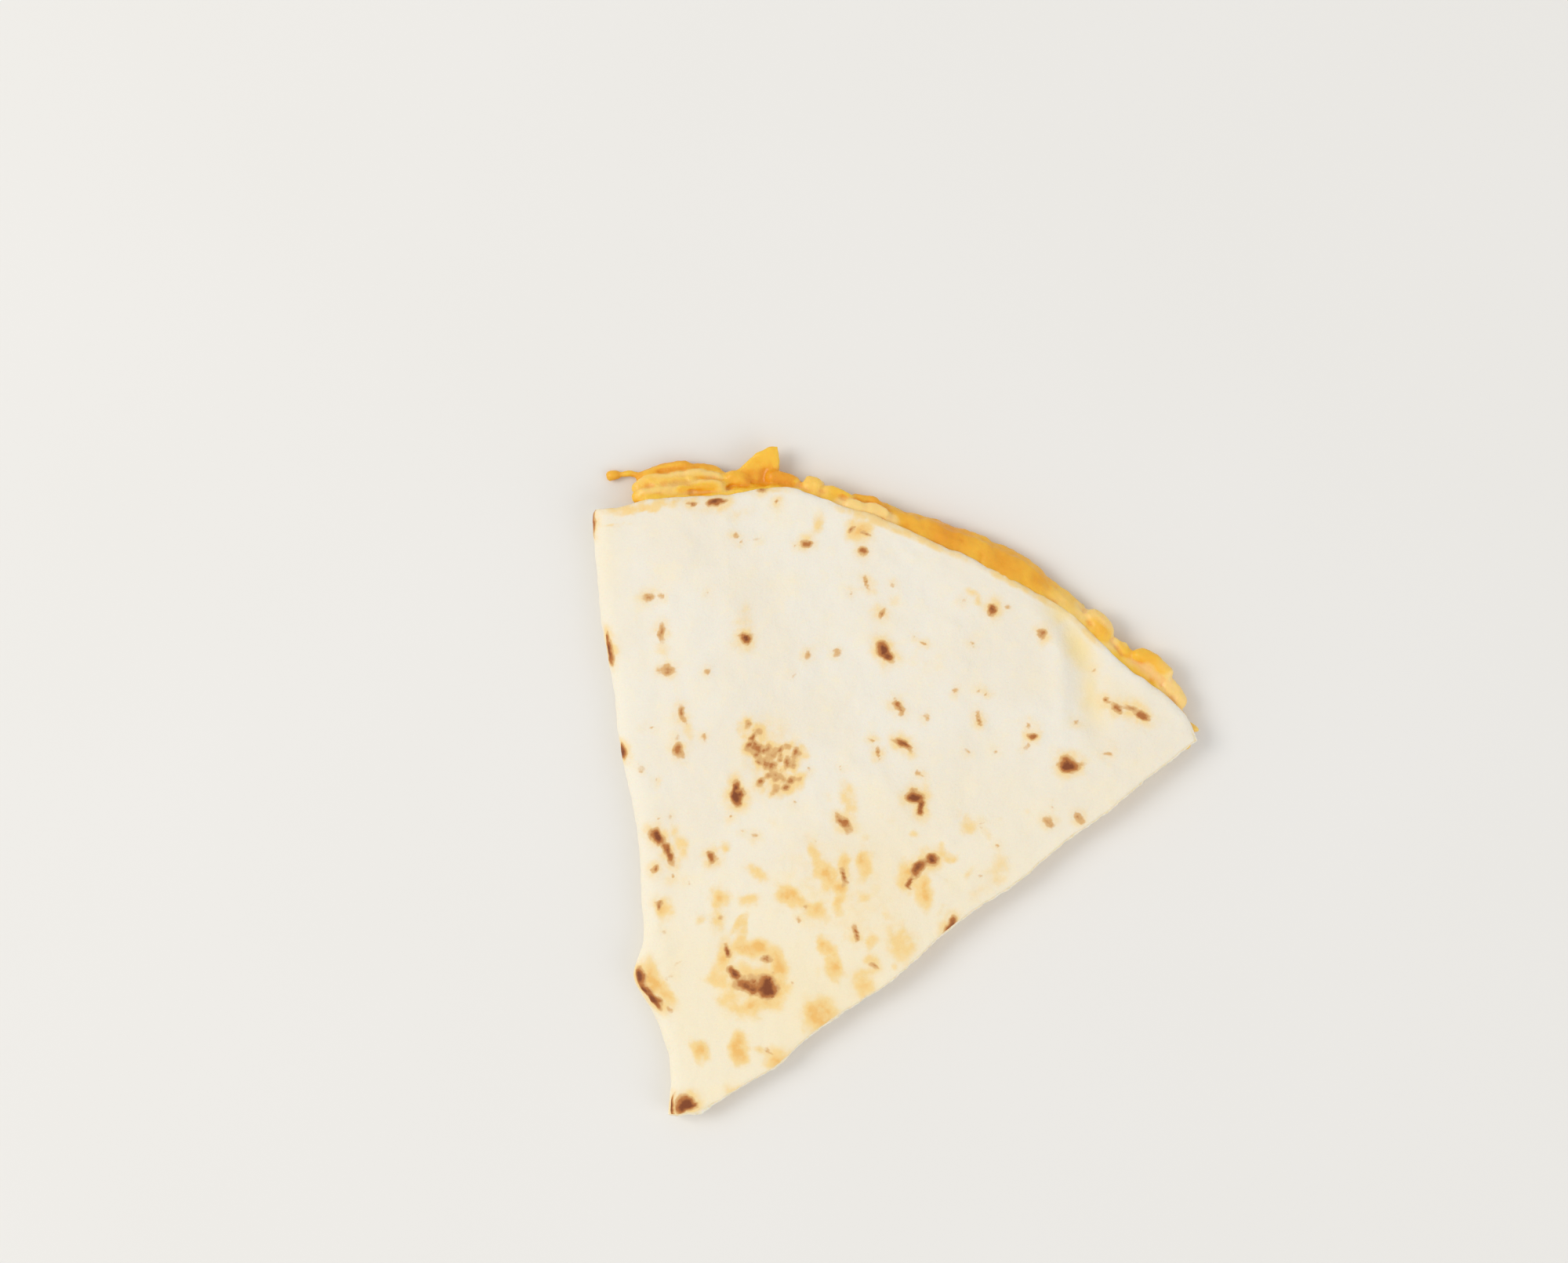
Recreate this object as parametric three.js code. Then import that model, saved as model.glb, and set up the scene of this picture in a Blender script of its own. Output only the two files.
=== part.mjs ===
import * as THREE from "three";

// A wedge of quesadilla: a toasted flour tortilla folded over melted cheese, with one third of the
// half-moon cut out of it. Millimetres, +Z up. The fold runs along +Y, from the blunt tip where the
// two straight sides meet to the round rim, and the cut side leaves the tip at the wedge's angle.

// Driving dimensions.
const tortillaRadius = 125; // from the corner where the straight sides would meet, out to the rim
const wedgeAngle = THREE.MathUtils.degToRad(60);
const tipTrim = 3.7; // the tip is blunt: it ends this far short of that corner
const doughThickness = 1.8;
const rimThickness = 1.2; // the tortilla thins towards its own uncut rim
const rimTaperWidth = 5;
const tipHeight = 5.0; // height of the whole stack at the tip
const foldHeight = 6.0; // at the fold, away from the tip
const bodyHeight = 7.2; // over the middle of the leaf
const pressedEdge = 1.2; // the knife presses the cut side down by this much
const rimLift = 0.5; // the lower leaf curls up by this much at the rim
const clearance = 0.3; // between the cheese and the dough around it
const cheeseOverhang = 3.6; // how far the cheese is squeezed out past the nominal rim

// Resolution of the grids.
const radialSteps = 22;
const leafSteps = 20;
const foldSteps = 6;
const cheeseSlices = 40;
const cheeseStations = 14;
const beadPoints = 8;

// Features along the rim, each a bump of a given size at a bearing from the fold, in degrees.
const rimFeatures = [
  { bearing: 3, width: 7.5, size: -5.6 }, // the leaf draws back beside the fold
  { bearing: 16, width: 3.0, size: 1.1 },
  { bearing: 30, width: 6.0, size: -0.8 },
  { bearing: 44, width: 3.0, size: 1.0 },
  { bearing: 57, width: 4.0, size: 2.6 }, // the corner at the cut side is pulled outwards
];
const cheeseFeatures = [
  { bearing: 9, width: 4.0, size: 2.2 }, // a broad lump of shreds beside the fold
  { bearing: 15.4, width: 1.7, size: 4.2 }, // one shred that sticks out
  { bearing: 23, width: 4.0, size: -1.2 },
  { bearing: 38, width: 6.0, size: 1.6 },
  { bearing: 46.5, width: 1.4, size: 1.4 },
  { bearing: 49.5, width: 1.2, size: -1.0 },
  { bearing: 52.6, width: 1.6, size: 2.4 },
];

const { smoothstep, lerp, radToDeg } = THREE.MathUtils;

function sumOfFeatures(features, angle) {
  const bearing = radToDeg(angle);
  const bump = ({ bearing: centre, width, size }) =>
    size * Math.exp(-(((bearing - centre) / width) ** 2));
  return features.reduce((total, feature) => total + bump(feature), 0);
}

function rimRadius(angle) {
  return tortillaRadius + sumOfFeatures(rimFeatures, angle);
}

// The cheese stands out furthest in the middle of the rim and meets the dough at both ends.
function cheeseRadius(angle) {
  const bearing = radToDeg(angle);
  const ends = smoothstep(bearing, 0, 3) * (1 - smoothstep(bearing, 56, 60));
  const reach = tortillaRadius + cheeseOverhang + sumOfFeatures(cheeseFeatures, angle);
  const least = rimRadius(angle) + 2 * clearance;
  return lerp(least, Math.max(reach, least), ends);
}

function tipRadius(angle) {
  return tipTrim / Math.cos(angle);
}

function foldHeightAt(radius) {
  return lerp(tipHeight, foldHeight, smoothstep(radius, 0, 60));
}

// Height of the upper leaf's top surface over the table.
function topHeight(radius, angle) {
  const across = radius * Math.sin(angle);
  const along = radius * Math.cos(angle);
  const toCut = radius * Math.sin(wedgeAngle - angle);
  const awayFromTip = smoothstep(radius, 0, 60);
  const body = lerp(tipHeight, bodyHeight, awayFromTip);
  const fullness = smoothstep(across, 0, 16);
  const waves = 0.35 * Math.sin(across / 11 + 0.8) * Math.cos(along / 14);
  const droop = 0.9 * smoothstep(across, 82, 92) * smoothstep(along, 55, 75);
  const pressed = pressedEdge * (1 - smoothstep(toCut, 0, 9)) * awayFromTip;
  const atFold = foldHeightAt(radius);
  return lerp(atFold, body + waves - droop, fullness * awayFromTip) - pressed * fullness;
}

function bottomHeight(radius, angle) {
  const curl = smoothstep(radius, rimRadius(angle) - 18, rimRadius(angle));
  return rimLift * curl * (0.6 + 0.4 * Math.sin(6 * angle));
}

function doughAt(radius, angle) {
  const edge = rimRadius(angle);
  return lerp(doughThickness, rimThickness, smoothstep(radius, edge - rimTaperWidth, edge));
}

// The leaves start beside the fold's half round, so the whole stack is squeezed sideways to fit.
function planPosition(radius, angle) {
  const bend = foldHeightAt(radius) / 2;
  const squeeze = 1 - bend / (radius * Math.sin(wedgeAngle));
  return [bend + squeeze * radius * Math.sin(angle), radius * Math.cos(angle)];
}

function upperLeafPoint(radius, angle, depth) {
  const [x, y] = planPosition(radius, angle);
  return new THREE.Vector3(x, y, topHeight(radius, angle) - depth);
}

function lowerLeafPoint(radius, angle, depth) {
  const [x, y] = planPosition(radius, angle);
  return new THREE.Vector3(x, y, bottomHeight(radius, angle) + depth);
}

// A point on the fold's half round, from the lower leaf (turn 0) to the upper leaf (turn 1).
function foldPoint(radius, turn, depth) {
  const bottom = bottomHeight(radius, 0);
  const bend = (topHeight(radius, 0) - bottom) / 2;
  const theta = (turn - 0.5) * Math.PI;
  const x = foldHeightAt(radius) / 2 - (bend - depth) * Math.cos(theta);
  return new THREE.Vector3(x, radius, bottom + bend + (bend - depth) * Math.sin(theta));
}

// Steps that crowd together at both ends, where the shape changes fastest.
function easedSteps(count) {
  const ease = (t) => lerp(t, smoothstep(t, 0, 1), 0.5);
  return Array.from({ length: count + 1 }, (_, i) => ease(i / count));
}

function meshFrom(points, faces) {
  const geometry = new THREE.BufferGeometry();
  geometry.setAttribute("position", new THREE.Float32BufferAttribute(points.flatMap((p) => p.toArray()), 3));
  geometry.setIndex(faces.flat());
  geometry.computeVertexNormals();
  return geometry;
}

// A closed shell from two grids of the same size, the skin outside and the lining inside.
function shellGeometry(skin, lining) {
  const rows = skin.length;
  const columns = skin[0].length;
  const inside = rows * columns;
  const at = (row, column) => row * columns + column;
  const faces = [];
  const quad = (a, b, c, d) => faces.push([a, b, c], [a, c, d]);
  for (let i = 0; i + 1 < rows; i++) {
    for (let j = 0; j + 1 < columns; j++) {
      quad(at(i, j), at(i, j + 1), at(i + 1, j + 1), at(i + 1, j));
      quad(inside + at(i, j), inside + at(i + 1, j), inside + at(i + 1, j + 1), inside + at(i, j + 1));
    }
  }
  const joinEdge = (a, b) => quad(b, a, inside + a, inside + b);
  for (let j = 0; j + 1 < columns; j++) {
    joinEdge(at(0, j), at(0, j + 1));
    joinEdge(at(rows - 1, j + 1), at(rows - 1, j));
  }
  for (let i = 0; i + 1 < rows; i++) {
    joinEdge(at(i + 1, 0), at(i, 0));
    joinEdge(at(i, columns - 1), at(i + 1, columns - 1));
  }
  return meshFrom([...skin.flat(), ...lining.flat()], faces);
}

// A closed loft through loops of one length, each loop folded flat on itself to cap an end.
function loftGeometry(loops) {
  const size = loops[0].length;
  const faces = [];
  const quad = (a, b, c, d) => faces.push([a, b, c], [a, c, d]);
  for (let i = 0; i + 1 < loops.length; i++) {
    for (let j = 0; j < size; j++) {
      const next = (j + 1) % size;
      quad(i * size + j, i * size + next, (i + 1) * size + next, (i + 1) * size + j);
    }
  }
  const last = (loops.length - 1) * size;
  for (let j = 0; j + 1 < size / 2; j++) {
    quad(size - 1 - j, size - 2 - j, j + 1, j);
    quad(last + j, last + j + 1, last + size - 2 - j, last + size - 1 - j);
  }
  return meshFrom(loops.flat(), faces);
}

function tortillaGeometry() {
  const leafAngles = easedSteps(leafSteps).map((t) => t * wedgeAngle);
  const foldTurns = Array.from({ length: foldSteps - 1 }, (_, i) => (i + 1) / foldSteps);
  const row = (t, skin) => {
    const radiusAt = (angle) => lerp(tipRadius(angle), rimRadius(angle), t);
    const depthAt = (angle) => (skin ? 0 : doughAt(radiusAt(angle), angle));
    return [
      ...leafAngles.toReversed().map((angle) => lowerLeafPoint(radiusAt(angle), angle, depthAt(angle))),
      ...foldTurns.map((turn) => foldPoint(radiusAt(0), turn, depthAt(0))),
      ...leafAngles.map((angle) => upperLeafPoint(radiusAt(angle), angle, depthAt(angle))),
    ];
  };
  const steps = easedSteps(radialSteps);
  return shellGeometry(
    steps.map((t) => row(t, true)),
    steps.map((t) => row(t, false)),
  );
}

// One slice through the cheese, from the tip out between the leaves, round the bead at the rim, and back.
function cheeseLoop(pointAt, angle) {
  const rim = rimRadius(angle);
  const beadStart = rim + clearance;
  const stations = easedSteps(cheeseStations).map((t) => lerp(tipRadius(angle) + clearance, beadStart, t));
  const between = stations.map((radius) => {
    const depth = doughAt(radius, angle) + clearance;
    return { radius, low: bottomHeight(radius, angle) + depth, high: topHeight(radius, angle) - depth };
  });
  const beadLow = bottomHeight(rim, angle) + rimThickness / 2;
  const beadHigh = topHeight(rim, angle) - rimThickness / 2;
  const reach = cheeseRadius(angle) - beadStart;
  const bead = Array.from({ length: beadPoints }, (_, i) => {
    const theta = (0.5 - i / (beadPoints - 1)) * Math.PI;
    const height = lerp(beadLow, beadHigh, (1 + Math.sin(theta)) / 2);
    return pointAt(beadStart + reach * Math.cos(theta), height);
  });
  return [
    ...between.map(({ radius, high }) => pointAt(radius, high)),
    ...bead,
    ...between.toReversed().map(({ radius, low }) => pointAt(radius, low)),
  ];
}

function cheeseGeometry() {
  // Inside the fold the slice is moved towards the crease and its height shrinks with the half round.
  const creaseLoop = (share) =>
    cheeseLoop((radius, height) => {
      const middle = (topHeight(radius, 0) + bottomHeight(radius, 0)) / 2;
      const room = foldHeightAt(radius) / 2 - doughThickness - clearance;
      const x = foldHeightAt(radius) / 2 - room * Math.cos(share * (Math.PI / 2));
      return new THREE.Vector3(x, radius, middle + (height - middle) * Math.sin(share * (Math.PI / 2)));
    }, 0);
  const leafLoop = (angle) =>
    cheeseLoop((radius, height) => {
      const [x, y] = planPosition(radius, angle);
      return new THREE.Vector3(x, y, height);
    }, angle);
  const angles = easedSteps(cheeseSlices).map((t) => t * wedgeAngle);
  return loftGeometry([creaseLoop(0.4), ...angles.map(leafLoop)].toReversed());
}

function buildTortilla() {
  const material = new THREE.MeshStandardMaterial({ color: 0xf3ead6, roughness: 0.85, metalness: 0 });
  const mesh = new THREE.Mesh(tortillaGeometry(), material);
  mesh.name = "tortilla";
  return mesh;
}

function buildCheese() {
  const material = new THREE.MeshStandardMaterial({ color: 0xf0b040, roughness: 0.4, metalness: 0 });
  const mesh = new THREE.Mesh(cheeseGeometry(), material);
  mesh.name = "cheese";
  return mesh;
}

const quesadilla = new THREE.Group();
quesadilla.add(buildTortilla(), buildCheese());

// The origin goes to the middle of the footprint, on the table.
const bounds = new THREE.Box3().setFromObject(quesadilla);
const centre = bounds.getCenter(new THREE.Vector3());
quesadilla.position.set(-centre.x, -centre.y, -bounds.min.z);

export default quesadilla;
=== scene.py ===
import math
import random

import bmesh
import bpy
import numpy as np
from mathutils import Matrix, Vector, noise


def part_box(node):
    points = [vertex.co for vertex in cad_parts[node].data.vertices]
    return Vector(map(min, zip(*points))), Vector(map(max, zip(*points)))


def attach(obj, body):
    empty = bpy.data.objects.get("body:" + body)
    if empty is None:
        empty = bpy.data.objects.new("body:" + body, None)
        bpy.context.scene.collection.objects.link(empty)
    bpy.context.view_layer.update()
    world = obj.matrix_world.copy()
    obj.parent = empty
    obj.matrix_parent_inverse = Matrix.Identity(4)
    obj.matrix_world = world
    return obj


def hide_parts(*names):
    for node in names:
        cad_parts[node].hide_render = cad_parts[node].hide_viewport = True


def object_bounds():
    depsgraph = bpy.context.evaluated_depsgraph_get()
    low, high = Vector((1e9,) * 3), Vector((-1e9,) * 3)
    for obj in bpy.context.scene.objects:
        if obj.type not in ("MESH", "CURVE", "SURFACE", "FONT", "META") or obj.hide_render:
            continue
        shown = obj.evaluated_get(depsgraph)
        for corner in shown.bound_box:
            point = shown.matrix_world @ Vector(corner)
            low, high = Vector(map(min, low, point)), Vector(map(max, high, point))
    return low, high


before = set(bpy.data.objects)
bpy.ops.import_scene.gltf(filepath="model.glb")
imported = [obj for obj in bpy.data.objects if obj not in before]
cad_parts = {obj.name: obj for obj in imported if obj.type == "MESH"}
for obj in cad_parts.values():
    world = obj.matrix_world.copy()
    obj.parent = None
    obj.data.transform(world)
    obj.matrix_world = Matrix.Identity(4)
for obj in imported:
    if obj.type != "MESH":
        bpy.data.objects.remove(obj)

cadLow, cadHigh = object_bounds()
doughLow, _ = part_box("tortilla")
mm = 0.001
touching = 0.01  # in mm: points this near each other are one

# The wedge's own shape, in mm and degrees. Across is measured from the fold and along it from the corner
# where the two straight sides would meet; a bearing is an angle from the fold.
wedge = {
    "radius": 125,
    "angle": 60,
    "tipTrim": 3.7,  # the blunt tip stops this far short of the corner
    "tipHeight": 5.0,
    "foldHeight": 6.0,
    "bodyHeight": 7.2,
    "tipReach": 60,  # over this distance the tip's height turns into the body's and the fold's
    "foldReach": 16,  # over this one the fold's height turns into the body's
    "waves": (0.35, 11, 14),  # height, size across, size along
    "droop": {"depth": 0.9, "across": (82, 92), "along": (55, 75)},  # the leaf sinks beyond the creases
    "dough": 1.8,
    "rimDough": 1.2,
    "rimTaper": 5,
    "pressedEdge": (1.2, 9),  # the knife presses the cut side down: depth, reach
    "rimLift": (0.5, 18),  # the lower leaf curls up at the rim: height, reach
    "rimShape": [  # bearing, width, size
        (0, 2.6, -1.5), (4, 11, -3.0), (16, 3, 1.7), (30, 6, -0.8), (44, 3, 1.0), (57, 4, 2.6),
    ],
    "foldShape": [  # along, width, size
        (101, 15, -1.2), (77, 6, -0.7), (57, 9, 0.9), (31, 5.5, -3.3), (14, 7, 1.5),
    ],
    "cutShape": [  # out from the corner, width, size
        (24, 9, 1.5), (50, 13, 1.6), (82, 9, 1.0), (104, 8, 0.5),
    ],
    "shapeReach": (12, 9),  # how far in the shapes of the fold and of the cut are felt
}
corner = Vector((doughLow.x, doughLow.y - wedge["tipTrim"] * mm, doughLow.z))
cutBearing = math.radians(wedge["angle"])


def ease(value, start, end):
    share = np.clip((value - start) / (end - start), 0, 1)
    return share * share * (3 - 2 * share)


def between(low, high, share):
    return low + (high - low) * share


def bumps(shape, place):
    return sum(size * np.exp(-(((place - at) / width) ** 2)) for at, width, size in shape)


def rimAt(bearing):
    return wedge["radius"] + bumps(wedge["rimShape"], np.degrees(bearing))


def tipAt(bearing):
    return wedge["tipTrim"] / np.cos(bearing)


def foldHeightAt(out):
    return between(wedge["tipHeight"], wedge["foldHeight"], ease(out, 0, wedge["tipReach"]))


def topAt(out, bearing):
    across = out * np.sin(bearing)
    along = out * np.cos(bearing)
    toCut = out * np.sin(cutBearing - bearing)
    away = ease(out, 0, wedge["tipReach"])
    body = between(wedge["tipHeight"], wedge["bodyHeight"], away)
    fullness = ease(across, 0, wedge["foldReach"])
    height, sizeAcross, sizeAlong = wedge["waves"]
    waves = height * np.sin(across / sizeAcross + 0.8) * np.cos(along / sizeAlong)
    sunk = wedge["droop"]
    droop = sunk["depth"] * ease(across, *sunk["across"]) * ease(along, *sunk["along"])
    depth, reach = wedge["pressedEdge"]
    pressed = depth * (1 - ease(toCut, 0, reach)) * away
    return between(foldHeightAt(out), body + waves - droop, fullness * away) - pressed * fullness


def undersideAt(out, bearing):
    lift, reach = wedge["rimLift"]
    curl = ease(out, rimAt(bearing) - reach, rimAt(bearing))
    return lift * curl * (0.6 + 0.4 * np.sin(6 * bearing))  # more here and less there


def doughAt(out, bearing):
    rim = rimAt(bearing)
    return between(wedge["dough"], wedge["rimDough"], ease(out, rim - wedge["rimTaper"], rim))


def planAt(out, bearing, bend):  # the leaves start beside the fold's half round
    squeeze = 1 - bend / (out * math.sin(cutBearing))
    return bend + squeeze * out * np.sin(bearing), out * np.cos(bearing)


def distanceToCut(across, along):
    return along * math.sin(cutBearing) - across * math.cos(cutBearing)


def shareOut(spun):  # 0 at the tip and 1 at the rim, for a distance in the plain spun sheet
    return np.clip((spun - wedge["tipTrim"]) / (wedge["radius"] - wedge["tipTrim"]), 0, 1)


def somewhere(rng, furthest, beside):  # a random place on a leaf
    out = wedge["radius"] * math.sqrt(rng.uniform(0.01, furthest))
    bearing = rng.uniform(beside, 0.97) * cutBearing
    return out * math.sin(bearing), out * math.cos(bearing)


def outlineShift(across, along):  # the fold and the cut aren't straight
    foldReach, cutReach = wedge["shapeReach"]
    foldPull = bumps(wedge["foldShape"], along) * (1 - ease(across, 1, foldReach))
    out = across * math.sin(cutBearing) + along * math.cos(cutBearing)
    cutPull = bumps(wedge["cutShape"], out) * (1 - ease(distanceToCut(across, along), 0, cutReach))
    return foldPull + cutPull * math.cos(cutBearing), -cutPull * math.sin(cutBearing)


def cloud(points, size, seed=0.0):  # smooth random numbers, about -1 to 1, with features of that size in mm
    shift = Vector((seed * 17.3, seed * 5.1, seed * 9.7))
    return np.array([noise.noise(Vector(p) / size + shift) for p in points]) * 1.6


def finishEditing():
    if bpy.context.object and bpy.context.object.mode != "OBJECT":
        bpy.ops.object.mode_set(mode="OBJECT")


def clearSelection():
    finishEditing()
    bpy.ops.object.select_all(action="DESELECT")


def activate(piece):
    clearSelection()
    piece.select_set(True)
    bpy.context.view_layer.objects.active = piece


def pick(piece, mode, test):  # selects in edit mode what passes the test
    bpy.ops.mesh.select_mode(type=mode)
    bpy.ops.mesh.select_all(action="DESELECT")
    live = bmesh.from_edit_mesh(piece.data)
    for item in {"VERT": live.verts, "FACE": live.faces}[mode]:
        if test(item):
            item.select_set(True)
    live.select_flush_mode()
    bmesh.update_edit_mesh(piece.data)


def addModifier(piece, kind, **settings):
    activate(piece)
    modifier = piece.modifiers.new(kind.title(), kind)
    for name, value in settings.items():
        setattr(modifier, name, value)
    bpy.ops.object.modifier_apply(modifier=modifier.name)


def readPoints(piece):  # in mm from the corner
    points = np.empty(len(piece.data.vertices) * 3)
    piece.data.vertices.foreach_get("co", points)
    return (points.reshape(-1, 3) - np.array(corner)) / mm


def writePoints(piece, points):
    placed = points * mm + np.array(corner)
    piece.data.vertices.foreach_set("co", placed.ravel())
    piece.data.update()


def readNormals(piece):
    normals = np.empty(len(piece.data.vertices) * 3)
    piece.data.vertices.foreach_get("normal", normals)
    return normals.reshape(-1, 3)


def addField(piece, name, values):
    field = piece.data.attributes.new(name, "FLOAT", "POINT")
    field.data.foreach_set("value", np.asarray(values, dtype=np.float32))


def addRadialLine(name, across, cuts):  # from the tip to the rim, beside the fold
    clearSelection()
    bpy.ops.mesh.primitive_plane_add(size=1)
    line = bpy.context.object
    line.name = name
    bpy.ops.object.mode_set(mode="EDIT")
    pick(line, "VERT", lambda vertex: vertex.co.x > 0)
    bpy.ops.mesh.delete(type="VERT")
    live = bmesh.from_edit_mesh(line.data)
    for vertex in live.verts:
        along = wedge["radius"] if vertex.co.y > 0 else wedge["tipTrim"]
        vertex.co = corner + Vector((across, along, 0)) * mm
    bmesh.update_edit_mesh(line.data)
    bpy.ops.mesh.select_all(action="SELECT")
    bpy.ops.mesh.subdivide(number_cuts=cuts)
    return line


# The tortilla: one sheet spun from the cut, round the fold, and back over itself.
tortilla = {
    "rows": 56,  # from the tip to the rim
    "columns": 56,  # across each leaf
    "foldSteps": 8,
    "edgeRounding": 0.4,
    "rimRounding": 0.5,
    "roundingReach": 1.4,  # how far in from an edge its rounding and raggedness fade out
    "edgeDrop": (0.2, 0.5),  # the skin turns down at an edge: height, reach
    "crumb": (0.9, 0.13),  # size and height of the pores in the cut
    "tear": 0.75,  # how ragged the knife leaves the cut
    "waves": [(16, 0.2, 1), (6.5, 0.16, 2), (2.6, 0.09, 3), (1.3, 0.035, 4)],  # size, height, seed
    "ragged": [(2.2, 0.16, 7), (7, 0.2, 8)],  # the same, for its edges
    "lining": (5.0, 0.28, 12),  # and for the inside of the dough
    "restingBubble": 0.25,  # the underside lies flat on its bubbles, which are no higher than this
    "creases": [  # start and end (across, along), half width, height
        ((81.8, 91.6), (85.4, 84), 1.7, 0.5),
        ((85.4, 87), (84.2, 71), 1.9, 0.75),
        ((85.5, 92), (90.0, 81), 2.6, -0.85),
        ((90.0, 82), (90.6, 68), 2.8, -0.65),
        ((96, 84), (103, 70), 2.6, 0.3),
        ((1, 111), (17, 113.4), 0.8, 0.16),
        ((3, 114), (20, 116), 0.7, 0.14),
        ((9, 108), (24, 107), 1.0, 0.12),
        ((7.5, 100), (8.4, 76), 1.4, -0.22),
        ((8.4, 76), (9.0, 58), 1.2, -0.14),
        ((57, 97), (66, 90), 1.4, 0.14),
        ((30, 99), (44, 101), 1.1, 0.1),
        ((62, 70), (75, 57), 1.8, 0.14),
    ],
    "bubbles": 170,
    "bubbleSize": (1.2, 4.4),
    "bubbleHeight": (0.05, 0.28),
    "puffs": 20,
    "puffSize": (4.5, 8.5),
    "puffHeight": (0.2, 0.5),
}


def nearFoldLine(vertex, height):
    place = (vertex.co - corner) / mm
    return abs(place.x - wedge["foldHeight"] / 2) < touching and abs(place.z - height) < touching


def sheetTortilla():
    bend = wedge["foldHeight"] / 2
    skin = addRadialLine("toastedTortilla", bend, tortilla["rows"] - 1)
    pivot = corner + Vector((bend, 0, 0)) * mm
    leaf = {"steps": tortilla["columns"], "angle": cutBearing, "center": pivot, "axis": (0, 0, 1)}
    bpy.ops.mesh.select_all(action="SELECT")
    bpy.ops.mesh.spin(**leaf)  # the lower leaf
    pick(skin, "VERT", lambda vertex: nearFoldLine(vertex, 0))
    foldAxis = pivot + Vector((0, 0, bend)) * mm
    bpy.ops.mesh.spin(steps=tortilla["foldSteps"], angle=-math.pi, center=foldAxis, axis=(0, 1, 0))
    pick(skin, "VERT", lambda vertex: nearFoldLine(vertex, wedge["foldHeight"]))
    bpy.ops.mesh.spin(**leaf)  # the upper leaf
    bpy.ops.mesh.select_all(action="SELECT")
    bpy.ops.mesh.remove_doubles(threshold=touching * mm)
    bpy.ops.mesh.normals_make_consistent(inside=False)
    finishEditing()
    upper = max(skin.data.polygons, key=lambda face: face.center.z)
    if upper.normal.z < 0:
        skin.data.flip_normals()
    return skin


def thickenTortilla(skin):
    for finish in ("toastedSkin", "hiddenDough", "cutDough"):
        skin.data.materials.append(bpy.data.materials.new(finish))
    wall = {"thickness": wedge["dough"] * mm, "offset": -1, "use_even_offset": True, "use_rim": True}
    addModifier(skin, "SOLIDIFY", material_offset=1, material_offset_rim=2, **wall)
    middle = corner.z + wedge["foldHeight"] / 2 * mm
    bpy.ops.object.mode_set(mode="EDIT")
    pick(skin, "FACE", lambda f: f.material_index != 1)
    bpy.ops.mesh.subdivide()
    foldStart = corner.x + wedge["foldHeight"] / 2 * mm
    pick(skin, "FACE", lambda f: f.material_index != 1 and len(f.verts) == 4
         and (f.calc_center_median().z > middle or f.calc_center_median().x < foldStart))
    bpy.ops.mesh.subdivide()  # what shows from above is finer still
    bpy.ops.mesh.select_all(action="DESELECT")
    finishEditing()


def segmentPull(points, start, end, halfWidth, height):
    run = np.array(end, float) - np.array(start, float)
    length = np.hypot(*run)
    away = points[:, :2] - np.array(start, float)
    share = np.clip(away @ run / length**2, 0, 1)
    off = np.hypot(away[:, 0] - share * run[0], away[:, 1] - share * run[1])
    taper = 0.4 + 0.6 * np.sin(math.pi * np.clip(share, 0.08, 0.92))  # it is lower towards its ends
    return height * np.exp(-((off / halfWidth) ** 2)) * taper


def reliefAt(unrolled):
    flat = np.column_stack([unrolled, np.zeros(len(unrolled))])
    relief = sum(height * cloud(flat, size, seed) for size, height, seed in tortilla["waves"])
    for crease in tortilla["creases"]:
        relief += segmentPull(flat, *crease)
    rng = random.Random(11)
    for kind, count in (("bubble", tortilla["bubbles"]), ("puff", tortilla["puffs"])):
        for _ in range(count):
            across, along = somewhere(rng, 0.97, 0.05)
            leaf = 1 if rng.random() < 0.7 else -1  # more of them on the upper leaf
            size = rng.uniform(*tortilla[kind + "Size"])
            height = rng.uniform(*tortilla[kind + "Height"])
            off = np.hypot(unrolled[:, 0] - leaf * across, unrolled[:, 1] - along) / size
            relief += height * np.clip(1 - off**2, 0, 1) ** 1.5
    return relief


def sheetPlaces(skin):  # where in the dough each point of the plain spun sheet belongs
    points = readPoints(skin)
    bend = wedge["foldHeight"] / 2
    beside = points[:, 0] - bend
    rise = points[:, 2] - bend
    onFold = beside < -1e-4
    upper = rise > 0
    turn = np.arctan2(rise, np.maximum(-beside, 0))
    inLeaf = np.where(upper, 2 * bend - points[:, 2], points[:, 2])
    depth = np.where(onFold, bend - np.hypot(beside, rise), inLeaf)
    outer = np.zeros(len(points), bool)
    inner = np.zeros(len(points), bool)
    for face in skin.data.polygons:
        if face.material_index == 0:
            outer[list(face.vertices)] = True
        elif face.material_index == 1:
            inner[list(face.vertices)] = True
    depth = np.clip(depth, 0, wedge["dough"])
    depth[outer] = 0
    depth[inner] = wedge["dough"]
    share = depth / wedge["dough"]
    spun = np.where(onFold, points[:, 1], np.hypot(beside, points[:, 1]))
    bearing = np.where(onFold, 0, np.arctan2(np.maximum(beside, 0), points[:, 1]))
    out = between(tipAt(bearing), rimAt(bearing), shareOut(spun))
    return onFold, upper, turn, share, out, bearing


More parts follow.
